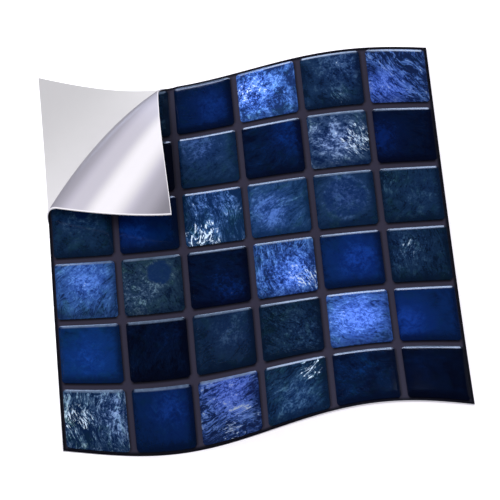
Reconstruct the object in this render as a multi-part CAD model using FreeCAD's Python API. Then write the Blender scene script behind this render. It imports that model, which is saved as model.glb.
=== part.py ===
import FreeCAD, Part
import math
import os

os.makedirs("parts", exist_ok=True)

V = FreeCAD.Vector
V2 = FreeCAD.Base.Vector2d

# Flexible mosaic sheet, lying face up on its own release paper, with the back left
# corner of the printed film peeled off and rolled over. Sizes are millimetres and degrees.
# Flat sheet axes: x to the right, y away from the viewer, both from the middle of the
# sheet. Lift is the height above the sheet's table side, square to its surface.
SHEET = 150.0
JOINT = 2.5
LINER_THICKNESS = 0.25
LINER_GAP = 0.2
FILM_THICKNESS = 0.5
BOND = 0.05
CHIP_HEIGHT = 1.0
CHIP_CORNER = 1.4
CHIP_RIM_WIDTH = 0.6
CHIP_RIM_DROP = 0.45
CORNER_CUTS = 2

# Finish of every chip, back row first, left to right.
LAYOUT = (
    "KTNCTC",
    "DKDKSK",
    "TNDDDT",
    "CSKCNT",
    "NKTTCN",
    "SNCTKK",
)
FINISHES = {
    "K": "ink_chips",
    "T": "teal_chips",
    "N": "navy_chips",
    "C": "cobalt_chips",
    "D": "denim_chips",
    "S": "ice_chips",
}

# Wave of the sheet: one trough on the left, one crest on the right, deepest at the
# front edge and nearly flat across the middle.
WAVE_FRONT = 12.6
WAVE_MIDDLE = 2.1
WAVE_BACK = 7.4
SHIFT_FRONT = 2.9
SHIFT_BACK = 6.5
DROOP_FRONT = -0.6
DROOP_BACK = -2.9
CANT_FRONT = 2.5
CANT_BACK = 1.5
GATHER = 0.985

# Peeled corner. The roll starts on a straight line from the back edge to the left edge,
# at these distances from the corner.
FOLD_BACK = 52.5
FOLD_SIDE = 60.0
ROLL_LENGTH = 7.4
ROLL_BACK = 2.1
ROLL_MIDDLE = 5.4
ROLL_SIDE = 2.4
DIP_BACK = -14.0
DIP_SIDE = 10.0
FLAP_REACH = 1.25
FLAP_DRIFT = 21.0
DRIFT_EASE = 0.05
PAPER_CORNER_RISE = 10.0

# Degree of the smooth surfaces over the whole sheet, one chip, and round the roll. The roll
# and the flap are made of strips across the fold, straight from one side to the other.
SHEET_DEGREE = 10
CHIP_DEGREE = 4
ROLL_DEGREE = 7
ROLL_STRIPS = 16
SEAM = 0.04

HALF = SHEET / 2.0
ROWS = len(LAYOUT)
COLUMNS = len(LAYOUT[0])
PITCH = SHEET / COLUMNS
FILM_BACK = LINER_THICKNESS + LINER_GAP
FACE = FILM_BACK + FILM_THICKNESS

FOLD_START = (FOLD_BACK - HALF, HALF)
FOLD_LENGTH = math.hypot(FOLD_BACK, FOLD_SIDE)
ALONG = (-FOLD_BACK / FOLD_LENGTH, -FOLD_SIDE / FOLD_LENGTH)
ACROSS = (-FOLD_SIDE / FOLD_LENGTH, FOLD_BACK / FOLD_LENGTH)
CORNER_ACROSS = FOLD_BACK * FOLD_SIDE / FOLD_LENGTH
CORNER_ALONG = FOLD_BACK * FOLD_BACK / FOLD_LENGTH
STRIP = FOLD_LENGTH / int(round(ROLL_STRIPS))


def wave(x, y):
    """Height of the waved sheet above its mean plane."""
    t = y / HALF

    def toward_edges(front, back):
        return (0.5 * (front + back) + 0.5 * (back - front) * t) * t * t

    depth = WAVE_MIDDLE + toward_edges(WAVE_FRONT - WAVE_MIDDLE, WAVE_BACK - WAVE_MIDDLE)
    shift = toward_edges(SHIFT_FRONT, SHIFT_BACK)
    lift = toward_edges(DROOP_FRONT, DROOP_BACK)
    tilt = toward_edges(CANT_FRONT, CANT_BACK)
    phase = 2.0 * math.pi * (x + HALF - shift) / SHEET
    return -depth * math.sin(phase) + lift + tilt * x / HALF


def slopes(x, y):
    d = 0.01
    along_x = (wave(x + d, y) - wave(x - d, y)) / (2 * d)
    along_y = (wave(x, y + d) - wave(x, y - d)) / (2 * d)
    return along_x, along_y


def fold_place(x, y):
    """Distance past the start of the roll, and distance along it from the back edge."""
    dx = x - FOLD_START[0]
    dy = y - FOLD_START[1]
    return dx * ACROSS[0] + dy * ACROSS[1], dx * ALONG[0] + dy * ALONG[1]


def flat_place(s, t):
    x = FOLD_START[0] + ACROSS[0] * s + ALONG[0] * t
    y = FOLD_START[1] + ACROSS[1] * s + ALONG[1] * t
    return x, y


def frame_at(x, y):
    """Point of the waved sheet, its normal, and its tangents across and along the fold."""
    sx, sy = slopes(x, y)
    normal = V(-sx / GATHER, -sy, 1.0)
    across = V(ACROSS[0] * GATHER, ACROSS[1], ACROSS[0] * sx + ACROSS[1] * sy)
    along = V(ALONG[0] * GATHER, ALONG[1], ALONG[0] * sx + ALONG[1] * sy)
    for direction in (normal, across, along):
        direction.normalize()
    return V(x * GATHER, y, wave(x, y)), normal, across, along


def on_sheet(x, y, lift):
    """A point of the sheet that still lies down."""
    point, normal, across, along = frame_at(x, y)
    return point + normal * lift


def on_paper(x, y, lift):
    """The release paper: bared by the peeled corner, it curls up a little there."""
    point = on_sheet(x, y, lift)
    past = max(fold_place(x, y)[0], 0.0)
    point.z += PAPER_CORNER_RISE * (past / CORNER_ACROSS) ** 2
    return point


def on_film(s, t, lift):
    """The film and chips in fold coordinates, lying down before the roll, rolled past it."""
    x, y = flat_place(min(s, 0.0), t)
    if s <= 0:
        return on_sheet(x, y, lift)
    start, normal, across, along = frame_at(x, y)
    part = t / FOLD_LENGTH
    bulge = 4.0 * part * (1.0 - part)
    radius = (ROLL_BACK + (ROLL_SIDE - ROLL_BACK) * part) * (1.0 - bulge) + ROLL_MIDDLE * bulge
    half_turn = math.pi + math.radians(DIP_BACK + (DIP_SIDE - DIP_BACK) * part)
    turn = half_turn * min(s / ROLL_LENGTH, 1.0)
    flap = max(s - ROLL_LENGTH, 0.0) * FLAP_REACH
    inner = radius - (lift - FILM_BACK)
    out = inner * math.sin(turn) + flap * math.cos(turn)
    up = FILM_BACK + radius - inner * math.cos(turn) + flap * math.sin(turn)
    share = s / CORNER_ACROSS
    drift = FLAP_DRIFT * share * share * (1.0 + DRIFT_EASE) / (share + DRIFT_EASE)
    return start + across * out + normal * up + along * drift


def settled_lean():
    """Slopes of the level plane the sheet settles on: the highest at its middle that
    stays below every point of the paper."""
    points = []
    for i in range(31):
        for j in range(31):
            p = on_paper(-HALF + SHEET * i / 30.0, -HALF + SHEET * j / 30.0, 0.0)
            points.append((p.x, p.y, p.z))

    def height(a, b):
        return min(z - a * x - b * y for x, y, z in points)

    def peak(function, low, high):
        for _ in range(30):
            third = (high - low) / 3.0
            if function(low + third) < function(high - third):
                low = low + third
            else:
                high = high - third
        return 0.5 * (low + high)

    def best_b(a):
        return peak(lambda b: height(a, b), -0.4, 0.4)

    a = peak(lambda value: height(value, best_b(value)), -0.4, 0.4)
    return a, best_b(a)


LEAN = settled_lean()
LEVEL = FreeCAD.Rotation(V(-LEAN[0], -LEAN[1], 1.0), V(0, 0, 1))
RESTING = [
    LEVEL.multVec(on_paper(-HALF + SHEET * i / 60.0, -HALF + SHEET * j / 60.0, 0.0))
    for i in range(61)
    for j in range(61)
]
FOOTPRINT = FreeCAD.BoundBox()
for place in RESTING:
    FOOTPRINT.add(place)
ORIGIN = V(FOOTPRINT.Center.x, FOOTPRINT.Center.y, FOOTPRINT.ZMin)


def settle(point):
    return LEVEL.multVec(point) - ORIGIN


# Smooth surfaces through places worked out above. Their two parameters are flat
# millimetres, so outlines are drawn flat and come out draped.
def full_knots(breaks, degree):
    """Knot list with a change of curvature allowed at every inner break."""
    knots = [breaks[0]] * (degree + 1)
    for value in breaks[1:-1]:
        knots += [value] * (degree - 1)
    return knots + [breaks[-1]] * (degree + 1)


def basis(knots, top, value):
    value = min(max(value, knots[0]), knots[-1])
    last = max(i for i in range(len(knots) - 1) if knots[i] < knots[i + 1])
    values = [0.0] * (len(knots) - 1)
    for i in range(len(knots) - 1):
        if knots[i] <= value < knots[i + 1] or (i == last and value >= knots[i + 1]):
            values[i] = 1.0
    for degree in range(1, top + 1):
        for i in range(len(knots) - 1 - degree):
            left = knots[i + degree] - knots[i]
            right = knots[i + degree + 1] - knots[i + 1]
            term = 0.0
            if left > 0:
                term += (value - knots[i]) / left * values[i]
            if right > 0:
                term += (knots[i + degree + 1] - value) / right * values[i + 1]
            values[i] = term
    return values[: len(knots) - 1 - top]


def inverse(matrix):
    n = len(matrix)
    rows = [list(row) + [1.0 if i == j else 0.0 for j in range(n)] for i, row in enumerate(matrix)]
    for i in range(n):
        pivot = max(range(i, n), key=lambda k: abs(rows[k][i]))
        rows[i], rows[pivot] = rows[pivot], rows[i]
        scale = rows[i][i]
        rows[i] = [value / scale for value in rows[i]]
        for k in range(n):
            factor = rows[k][i]
            if k != i and factor != 0.0:
                rows[k] = [a - factor * b for a, b in zip(rows[k], rows[i])]
    return [row[n:] for row in rows]


def blend(weights, points):
    total = V(0, 0, 0)
    for weight, point in zip(weights, points):
        total = total + point * weight
    return total


def direction_of(breaks, degree):
    """Knots, the places to pass through, and the weights that turn them into poles."""
    degree = int(round(degree))
    knots = full_knots(breaks, degree)
    sites = [sum(knots[i + 1 : i + 1 + degree]) / degree for i in range(len(knots) - 1 - degree)]
    return knots, sites, inverse([basis(knots, degree, site) for site in sites])


def surface_through(where, lift, ubreaks, vbreaks, udegree, vdegree):
    """Smooth surface through where(u, v, lift)."""
    uknots, usites, uweights = direction_of(ubreaks, udegree)
    vknots, vsites, vweights = direction_of(vbreaks, vdegree)
    places = [[settle(where(u, v, lift)) for v in vsites] for u in usites]
    rows = [[blend(weights, column) for column in zip(*places)] for weights in uweights]
    poles = [[blend(weights, row) for weights in vweights] for row in rows]
    surface = Part.BSplineSurface()
    umults = [uknots.count(value) for value in ubreaks]
    vmults = [vknots.count(value) for value in vbreaks]
    surface.buildFromPolesMultsKnots(
        poles, umults, vmults, ubreaks, vbreaks, False, False, umults[0] - 1, vmults[0] - 1
    )
    return surface


def edges_on(surface, corners):
    """Closed outline drawn straight from corner to corner in a surface's flat measures."""
    edges = []
    for i, corner in enumerate(corners):
        other = corners[(i + 1) % len(corners)]
        line = Part.Geom2d.Line2dSegment(V2(*corner), V2(*other))
        edges.append(line.toShape(surface))
    return edges


def face_on(surface, edges):
    face = Part.Face(surface, Part.Wire(edges))
    face.validate()
    return face


def bands(lower, upper):
    return [Part.makeRuledSurface(a, b, 1) for a, b in zip(lower, upper)]


def closed_solid(faces, gap=0.0):
    """Solid from faces that meet within a gap."""
    for face in faces:
        if gap > 0:
            face.fixTolerance(gap)
    shell = Part.makeShell(faces)
    shell.sewShape()
    solid = Part.makeSolid(Part.Shell(shell.Faces))
    if solid.Volume < 0:
        solid.reverse()
    return solid


def stack(where, breaks, degrees, levels):
    """End faces and outlines of a piece built up level by level."""
    surfaces = [surface_through(where, lift, *breaks, *degrees) for lift, outline in levels]
    rings = [edges_on(surface, outline) for surface, (lift, outline) in zip(surfaces, levels)]
    faces = [face_on(surfaces[0], rings[0]), face_on(surfaces[-1], rings[-1])]
    return faces, rings


def crossings(start, end, axis):
    """Shares of a side in fold coordinates at which it meets a zone's or a strip's edge."""
    low, high = sorted((start[axis], end[axis]))
    lines = [0.0, ROLL_LENGTH]
    if axis == 1:
        lines = [STRIP * i for i in range(math.floor(low / STRIP), math.ceil(high / STRIP) + 1)]
    return [(line - start[axis]) / (end[axis] - start[axis]) for line in lines if low < line < high]


def with_crossings(outlines):
    """The same outlines, with one more point on a side of all of them wherever that side of
    one of them meets the edge of a zone or a strip."""
    finer = [[] for outline in outlines]
    for k in range(len(outlines[0])):
        sides = [(outline[k], outline[(k + 1) % len(outline)]) for outline in outlines]
        parts = [0.0]
        for start, end in sides:
            for part in crossings(start, end, 0) + crossings(start, end, 1):
                if all(0.0001 < abs(part - known) < 0.9999 for known in parts):
                    parts.append(part)
        for part in sorted(parts):
            for points, (start, end) in zip(finer, sides):
                points.append(tuple(a + (b - a) * part for a, b in zip(start, end)))
    return finer


def cut(outline, axis, limit, sign):
    """Part of a convex outline above a limit along one axis, or below it for sign -1."""
    kept = []
    for k, point in enumerate(outline):
        other = outline[(k + 1) % len(outline)]
        here = sign * (point[axis] - limit)
        there = sign * (other[axis] - limit)
        if here > -0.0001:
            kept.append(point)
        if min(here, there) < -0.0001 and max(here, there) > 0.0001:
            part = here / (here - there)
            kept.append(tuple(a + (b - a) * part for a, b in zip(point, other)))
    return kept


def cells(outline):
    """Pieces of an outline by zone (lying, rolled, flap) and by strip across the fold."""
    lowest = min(s for s, t in outline)
    highest = max(s for s, t in outline)
    first = math.floor(min(t for s, t in outline) / STRIP + 0.001)
    last = math.ceil(max(t for s, t in outline) / STRIP - 0.001)
    zones = ((lowest, 0.0), (0.0, ROLL_LENGTH), (ROLL_LENGTH, highest))
    for low, high in zones:
        for i in range(first, last if high - low > 0.001 else first):
            piece = cut(cut(outline, 0, low, 1), 0, high, -1)
            piece = cut(cut(piece, 1, STRIP * i, 1), 1, STRIP * (i + 1), -1)
            if len(piece) > 2:
                yield piece, [low, high], [STRIP * i, STRIP * (i + 1)]


def rolled_stack(levels):
    """As stack, for a piece that lies on the roll or the flap: its end faces are made of
    strips, straight along the fold. A side along the start of the roll stays open."""
    outlines = with_crossings([outline for lift, outline in levels])
    faces = []
    rings = []
    for (lift, coarse), outline in zip(levels, outlines):
        ring = {}
        sides = {side: k for k, side in enumerate(zip(outline, outline[1:] + outline[:1]))}
        for piece, across, along in cells(outline):
            degree = ROLL_DEGREE if across == [0.0, ROLL_LENGTH] else CHIP_DEGREE
            surface = surface_through(on_film, lift, across, along, degree, 1)
            edges = edges_on(surface, piece)
            for edge, side in zip(edges, zip(piece, piece[1:] + piece[:1])):
                if side in sides:
                    ring[sides[side]] = edge
            if lift in (levels[0][0], levels[-1][0]):
                faces.append(face_on(surface, edges))
        closed = [k for (start, end), k in sides.items() if start[0] != 0.0 or end[0] != 0.0]
        rings.append([ring[k] for k in closed])
    return faces, rings


def release_paper():
    """Release paper, a full square."""
    square = [(-HALF, -HALF), (HALF, -HALF), (HALF, HALF), (-HALF, HALF)]
    breaks = ([-HALF, HALF], [-HALF, HALF])
    levels = ((0.0, square), (LINER_THICKNESS, square))
    faces, rings = stack(on_paper, breaks, (SHEET_DEGREE, SHEET_DEGREE), levels)
    return closed_solid(faces + bands(rings[0], rings[1]))


def vinyl_film():
    """Printed film: the part that lies down, then the peeled corner."""
    fold = [flat_place(0.0, STRIP * i) for i in range(int(round(ROLL_STRIPS)) + 1)]
    lying = fold + [(-HALF, -HALF), (HALF, -HALF), (HALF, HALF)]
    peeled = [(0.0, 0.0), (CORNER_ACROSS, CORNER_ALONG), (0.0, FOLD_LENGTH)]
    breaks = ([-HALF, HALF], [-HALF, HALF])
    levels = ((FILM_BACK, lying), (FACE, lying))
    faces, rings = stack(on_sheet, breaks, (SHEET_DEGREE, SHEET_DEGREE), levels)
    faces += bands(rings[0][len(fold) - 1 :], rings[1][len(fold) - 1 :])
    ends, rings = rolled_stack(((FILM_BACK, peeled), (FACE, peeled)))
    return closed_solid(faces + ends + bands(rings[0], rings[1]), SEAM)


def chip_outline(row, column, inset, radius):
    """Square with rounded corners, counter-clockwise, in flat sheet axes."""
    reach = (PITCH - JOINT) / 2.0 - inset
    middle_x = -HALF + PITCH * (column + 0.5)
    middle_y = HALF - PITCH * (row + 0.5)
    cuts = int(round(CORNER_CUTS))
    outline = []
    for quarter in range(4):
        sign_x = (1, -1, -1, 1)[quarter]
        sign_y = (1, 1, -1, -1)[quarter]
        for step in range(cuts + 1):
            angle = math.pi / 2.0 * (quarter + step / cuts)
            x = middle_x + sign_x * (reach - radius) + radius * math.cos(angle)
            y = middle_y + sign_y * (reach - radius) + radius * math.sin(angle)
            outline.append((x, y))
    return outline


def resin_chip(row, column):
    """One raised resin chip: upright foot, sloping rim, smooth top."""
    foot = FACE + BOND
    levels = [
        (foot, chip_outline(row, column, 0.0, CHIP_CORNER)),
        (foot + CHIP_HEIGHT - CHIP_RIM_DROP, chip_outline(row, column, 0.0, CHIP_CORNER)),
        (foot + CHIP_HEIGHT, chip_outline(row, column, CHIP_RIM_WIDTH, CHIP_CORNER - CHIP_RIM_WIDTH / 2.0)),
    ]
    if all(fold_place(x, y)[0] <= 0 for x, y in levels[0][1]):
        xs = [x for x, y in levels[0][1]]
        ys = [y for x, y in levels[0][1]]
        breaks = ([min(xs), max(xs)], [min(ys), max(ys)])
        faces, rings = stack(on_sheet, breaks, (CHIP_DEGREE, CHIP_DEGREE), levels)
    else:
        levels = [(lift, [fold_place(x, y) for x, y in outline]) for lift, outline in levels]
        faces, rings = rolled_stack(levels)
    for lower, upper in zip(rings[:-1], rings[1:]):
        faces += bands(lower, upper)
    return closed_solid(faces)


def save(name, solids):
    for solid in solids:
        if solid.ShapeType != "Solid" or not solid.isValid() or solid.Volume <= 0:
            raise ValueError("a solid of " + name + " is not sound")
    shape = solids[0]
    if len(solids) > 1:
        shape = Part.makeCompound(solids)
    shape.exportStep("parts/" + name + ".step")


save("release_paper", [release_paper()])
save("vinyl_film", [vinyl_film()])
for letter, name in FINISHES.items():
    chips = []
    for row in range(ROWS):
        for column in range(COLUMNS):
            if LAYOUT[row][column] == letter:
                chips.append(resin_chip(row, column))
    save(name, chips)
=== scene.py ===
import math
from functools import partialmethod

import bmesh
import bpy
import numpy
from bpy.props import FloatProperty, FloatVectorProperty, IntProperty, PointerProperty, StringProperty
from mathutils import Matrix, Vector


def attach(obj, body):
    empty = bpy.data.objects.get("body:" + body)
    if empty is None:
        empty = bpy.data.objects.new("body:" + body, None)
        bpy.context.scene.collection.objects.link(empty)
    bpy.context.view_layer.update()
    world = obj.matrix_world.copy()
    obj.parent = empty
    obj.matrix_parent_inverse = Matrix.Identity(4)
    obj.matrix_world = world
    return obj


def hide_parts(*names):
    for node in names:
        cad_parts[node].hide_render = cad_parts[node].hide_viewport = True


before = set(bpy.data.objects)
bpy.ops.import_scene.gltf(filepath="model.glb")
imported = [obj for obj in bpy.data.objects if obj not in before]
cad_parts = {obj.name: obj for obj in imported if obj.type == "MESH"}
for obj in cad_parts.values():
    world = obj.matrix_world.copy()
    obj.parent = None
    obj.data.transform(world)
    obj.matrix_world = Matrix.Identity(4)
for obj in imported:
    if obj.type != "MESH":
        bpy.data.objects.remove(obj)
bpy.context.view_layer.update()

bl_info = {
    "name": "Peel and Stick Mosaic Sheet",
    "version": (1, 0, 0),
    "blender": (4, 5, 0),
    "location": "3D View > Sidebar > Mosaic",
    "description": "Builds a waved peel and stick glass-look mosaic sheet with one corner rolled back",
    "category": "Add Mesh",
}

# Finish of every chip, back row first, left to right, as in the part's source.
LAYOUT = (
    "KTNCTC",
    "DKDKSK",
    "TNDDDT",
    "CSKCNT",
    "NKTTCN",
    "SNCTKK",
)
FINISHES = {"K": "ink", "T": "teal", "N": "navy", "C": "cobalt", "D": "denim", "S": "ice"}
TONES = ("deep", "main", "light")
GLASS_COLOURS = {
    "ink": ((0.0005, 0.0018, 0.011), (0.0008, 0.0055, 0.028), (0.001, 0.0135, 0.072)),
    "teal": ((0.0016, 0.0075, 0.028), (0.0054, 0.021, 0.066), (0.036, 0.085, 0.170)),
    "navy": ((0.0006, 0.0055, 0.030), (0.0014, 0.016, 0.090), (0.005, 0.040, 0.195)),
    "cobalt": ((0.007, 0.022, 0.100), (0.032, 0.098, 0.370), (0.125, 0.290, 0.800)),
    "denim": ((0.0028, 0.0150, 0.058), (0.011, 0.039, 0.126), (0.062, 0.140, 0.360)),
    "ice": ((0.0025, 0.0120, 0.050), (0.021, 0.053, 0.130), (0.210, 0.330, 0.520)),
}
# Attributes that say what each chip's glass shows, and the glass's inputs that they feed.
CHIP_TRAITS = {
    "chip_tone": ("Brightness", "Lean", "Clouds"),
    "chip_marks": ("Strokes", "Stroke Turn", "Flecks"),
    "chip_glow": ("Glow",),
    "chip_patch": ("Patch",),
    "chip_spot": ("Spot",),
}
# How deep the painted shade at each glass's rim is: the share of its deep colour that the glass takes on
# there.
RIM_PAINTED_SHADE = {"ink": 0.88, "teal": 0.88, "navy": 0.88, "cobalt": 0.50, "denim": 0.75, "ice": 0.55}

# What each chip's glass shows: brightness, green to violet lean, cloudiness, strokes and
# their turn in degrees, flecks, then place and strength of its glow and of its crinkled pale
# patch, and place and radius of its round spot. Places run from -1 to 1 across the chip.
NONE = (0, 0, 0)
GLASS = (
    # back row
    (1.00, 0.0, 0.5, 0.1, 0, 0.1, (0.0, 0.0, 0.3)),
    (0.80, -0.2, 0.5, 0.3, 70, 0.3, (0.6, 0.2, 0.3)),
    (0.60, 0.0, 0.3, 0.1, 40, 0.15, (0.3, -0.15, 1.0)),
    (1.35, 0.05, 0.8, 0.5, 95, 1.2, (-0.5, 0.1, 0.8), (-0.75, 0.1, 1.4)),
    (1.15, 0.1, 0.6, 0.2, 60, 0.6, (0.4, 0.5, 0.7), (0.1, -0.75, 0.7)),
    (0.65, 0.2, 0.4, 1.5, 42, 0.3, (-0.5, -0.5, 1.1), (-0.5, -0.7, 0.5)),
    # second row
    (0.80, 0.0, 0.4, 0.2, 0, 0.1, (0.0, 0.0, 0.5)),
    (0.70, 0.0, 0.3, 0.1, 0, 0.1),
    (0.75, -0.1, 0.4, 0.2, -30, 0.35, (-0.2, 0.5, 0.8)),
    (1.55, -0.1, 0.45, 0.3, -20, 0.15, (0.6, 0.4, 1.0)),
    (1.00, 0.1, 0.7, 0.35, 40, 0.5, (-0.2, 0.0, 0.8), (0.6, -0.1, 3.0)),
    (1.00, 0.2, 0.35, 0.1, 30, 0.1, (-0.8, -0.1, 1.0)),
    # third row
    (1.05, -0.1, 0.5, 0.1, 20, 0.5, (-0.1, 0.6, 0.5), NONE, (0.0, 0.7, 0.32)),
    (0.75, 0.1, 0.3, 0.1, 80, 0.0, (-0.5, -0.2, 0.8)),
    (1.30, -0.1, 0.7, 1.1, 88, 0.6, (0.0, 0.5, 0.6), (-0.45, -0.6, 2.6)),
    (1.25, -0.1, 0.4, 0.45, -38, 0.3, (-0.3, -0.1, 0.9)),
    (0.70, -0.1, 0.4, 0.2, -20, 0.4, (0.0, 0.1, 0.6), NONE, (0.0, 0.05, 0.72)),
    (1.00, -0.2, 0.4, 0.3, -60, 0.35, (0.3, 0.0, 0.5), (-0.85, 0.6, 0.5)),
    # fourth row
    (0.75, -0.25, 0.4, 0.5, -50, 0.3, (0.0, 0.3, 1.0), (-0.1, 0.0, 0.6)),
    (0.60, -0.25, 0.35, 0.2, 60, 0.6, (-0.5, -0.3, 0.5), NONE, (0.25, 0.4, 0.42)),
    (1.00, 0.0, 0.5, 0.3, 30, 0.25, (0.3, -0.5, 0.8)),
    (0.95, 0.0, 0.6, 0.7, 75, 0.8, (0.2, -0.3, 0.9), (0.75, -0.5, 1.6)),
    (1.10, 0.1, 0.3, 0.1, 60, 0.2, (0.2, -0.05, 1.0)),
    (0.90, -0.1, 0.35, 0.4, 80, 0.55, (-0.5, 0.3, 0.5), (-0.25, 0.2, 0.8)),
    # fifth row
    (1.55, -0.15, 0.25, 0.1, 0, 0.15, (-0.1, -0.2, 0.7)),
    (0.75, 0.0, 0.6, 0.3, 110, 0.3, (0.4, 0.7, 0.3)),
    (0.80, 0.0, 0.35, 0.2, -30, 0.3, (0.3, 0.3, 0.6)),
    (0.80, -0.1, 0.4, 0.3, 50, 0.8, (0.6, -0.3, 0.5), (-0.5, 0.5, 0.5)),
    (1.15, 0.1, 0.3, 0.5, 22, 0.5, (0.0, 0.0, 1.0), (-0.6, 0.0, 0.5)),
    (1.10, 0.2, 0.2, 0.1, 0, 0.0, (-0.7, -0.3, 1.0)),
    # front row
    (1.05, 0.0, 0.6, 1.0, 87, 0.6, (0.75, 0.2, 0.7), (-0.6, 0.0, 3.4)),
    (0.75, 0.0, 0.3, 0.1, 60, 0.15, (0.3, 0.2, 0.9)),
    (0.50, 0.35, 0.4, 1.4, -8, 0.5, (0.1, 0.6, 1.1), (0.0, -0.85, 2.0)),
    (1.35, -0.2, 0.5, 0.5, -40, 0.4, (0.0, -0.3, 0.7), (0.55, 0.6, 1.4)),
    (1.80, -0.3, 0.6, 0.3, 30, 0.25, (-0.4, 0.2, 0.4)),
    (0.70, 0.1, 0.4, 0.1, 20, 0.15, (-0.6, 0.0, 0.4)),
)


def length(name, description, default):
    return FloatProperty(name=name, description=description, default=default, unit="LENGTH", precision=5)


def amount(name, description, default, top=10.0):
    return FloatProperty(name=name, description=description, default=default, min=0.0, max=top)


def turn(name, description, default):
    return FloatProperty(name=name, description=description, default=math.radians(default), unit="ROTATION")


def colour(name, description, default):
    return FloatVectorProperty(
        name=name, description=description, default=default, size=3, min=0.0, max=1.0, subtype="COLOR"
    )


class MosaicSheetSizes(bpy.types.PropertyGroup):
    side: length("Side", "Side of the square sheet when flat", 0.150)
    joint: length("Joint", "Width of the joint between chips", 0.0025)
    paper: length("Paper", "Thickness of the release paper", 0.00025)
    gap: length("Gap", "Space between paper and film", 0.0002)
    film: length("Film", "Thickness of the printed film", 0.0005)
    bond: length("Bond", "Space between film and chip", 0.00005)
    mesh_step: length("Mesh step", "Size of the film's and paper's mesh squares", 0.002)


class MosaicWave(bpy.types.PropertyGroup):
    front: length("Front depth", "Half height of the wave at the front edge", 0.0126)
    middle: length("Middle depth", "Half height of the wave half way back", 0.0021)
    back: length("Back depth", "Half height of the wave at the back edge", 0.0074)
    shift_front: length("Front shift", "How far the wave moves right at the front edge", 0.0029)
    shift_back: length("Back shift", "How far the wave moves right at the back edge", 0.0065)
    droop_front: length("Front droop", "Height of the front edge against the middle", -0.0006)
    droop_back: length("Back droop", "Height of the back edge against the middle", -0.0029)
    cant_front: length("Front cant", "Rise of the front edge towards the right", 0.0025)
    cant_back: length("Back cant", "Rise of the back edge towards the right", 0.0015)
    gather: amount("Gather", "Share of its flat width that the waved sheet keeps", 0.985)


class MosaicRoll(bpy.types.PropertyGroup):
    fold_back: length("Fold on back edge", "Distance of the fold from the corner, back edge", 0.0525)
    fold_side: length("Fold on left edge", "Distance of the fold from the corner, left edge", 0.060)
    roll_length: length("Roll length", "Film used up by the roll", 0.0074)
    radius_back: length("Back radius", "Roll radius at the back edge", 0.0021)
    radius_middle: length("Middle radius", "Roll radius half way along the fold", 0.0054)
    radius_side: length("Side radius", "Roll radius at the left edge", 0.0024)
    dip_back: turn("Back dip", "How far past level the flap turns, at the back edge", -14)
    dip_side: turn("Side dip", "How far past level the flap turns, at the left edge", 10)
    reach: amount("Reach", "Stretch of the flap square to the fold", 1.25)
    drift: length("Drift", "How far the flap's tip slides along the fold", 0.021)
    drift_ease: amount("Drift ease", "Share of the flap over which the slide sets in", 0.05)
    paper_rise: length("Paper rise", "Curl of the bared corner of the release paper", 0.0100)
    mesh_step: length("Roll mesh step", "Width of the roll's mesh strips", 0.0005)


class MosaicChipSizes(bpy.types.PropertyGroup):
    height: length("Height", "Height of a chip above the film", 0.0010)
    corner: length("Corner radius", "Radius of a chip's corners in plan", 0.0014)
    shoulder: length("Shoulder", "Width of a chip's rounded rim", 0.0014)
    wall: length("Wall", "Height of a chip's upright side", 0.00032)
    crown: length("Crown", "Rise of a chip's middle over its rim", 0.00010)
    unevenness: length("Unevenness", "Waviness of a chip's face", 0.00003)
    rings: IntProperty(name="Rings", description="Mesh rings from rim to middle", default=12, min=4, max=24)


class MosaicColours(bpy.types.PropertyGroup):
    joint: colour("Joint", "Printed joint between the chips", (0.0285, 0.0260, 0.0460))
    border: colour("Border", "Outer edge of the print", (0.004, 0.004, 0.009))
    underside: colour("Underside", "Pearl underside of the film", (0.98, 0.95, 1.0))
    # The underside shade colour tints the painted shade on the pearl, where it turns grey.
    underside_shade: colour("Underside shade", "Pearl where it turns grey", (0.90, 0.86, 1.0))
    edge: colour("Cut edge", "Pale core of the film on its cut edge", (0.62, 0.61, 0.65))
    paper: colour("Paper", "Release paper", (0.98, 0.965, 0.98))
    pale: colour("Pale foil", "Crinkled silver in the glass", (0.55, 0.68, 0.84))
    # The milky rim colour is a painted highlight along the back rim of each chip.
    rim: colour("Milky rim", "Clear rim of a chip at its back", (0.17, 0.24, 0.37))


for kind, tones in GLASS_COLOURS.items():
    for tone, default in zip(TONES, tones):
        field = colour(f"{kind.title()}, {tone}", f"{tone.title()} colour of the {kind} glass", default)
        MosaicColours.__annotations__[f"{kind}_{tone}"] = field


class MosaicStudio(bpy.types.PropertyGroup):
    fill: amount("Fill", "Strength of the even light from all round", 0.85)
    mirrored_fill: amount("Mirrored fill", "Strength of that light as gloss shows it", 0.012)
    band: amount("Band", "Strength of the pale band low behind the sheet, as gloss shows it", 6.5, 50.0)
    band_full: turn("Band full to", "Height up to which the band keeps its strength", 15)
    band_end: turn("Band ends at", "Height at which the band ends", 21.5)
    fill_colour: colour("Fill colour", "Colour of the even light", (0.97, 0.97, 1.0))
    mirrored_colour: colour("Mirrored colour", "Colour of the light that gloss shows", (0.64, 0.74, 1.0))
    key_power: FloatProperty(
        name="Key", description="Power of the lamp above left", default=6.0, unit="POWER"
    )
    key_width: length("Key width", "Side of the lamp above left", 0.5)
    floor: colour("Floor", "Pale floor", (0.92, 0.91, 0.94))
    floor_mirrored: colour("Mirrored floor", "The floor as gloss shows it", (0.06, 0.06, 0.07))
    floor_light: colour("Floor light", "Colour of the light that the floor gives off", (0.97, 0.96, 1.0))
    floor_glow: amount("Floor glow", "Light that the floor, a light table, gives off", 0.36)
    lens: FloatProperty(name="Lens", description="Focal length", default=193.6, unit="CAMERA")
    camera_distance: length("Camera distance", "From the lens to the middle of the sheet", 0.99410)
    camera_side: turn("Camera side", "Turn of the camera round the sheet", 1.016)
    camera_height: turn("Camera height", "Angle of the camera above the sheet's mean plane", 63.371)
    camera_roll: turn("Camera roll", "Turn of the camera about its own line of sight", -6.611)
    camera_right: length("Camera right", "Sideways place of the line of sight", 0.00012)
    camera_up: length("Camera up", "Upward place of the line of sight", -0.00248)


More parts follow.
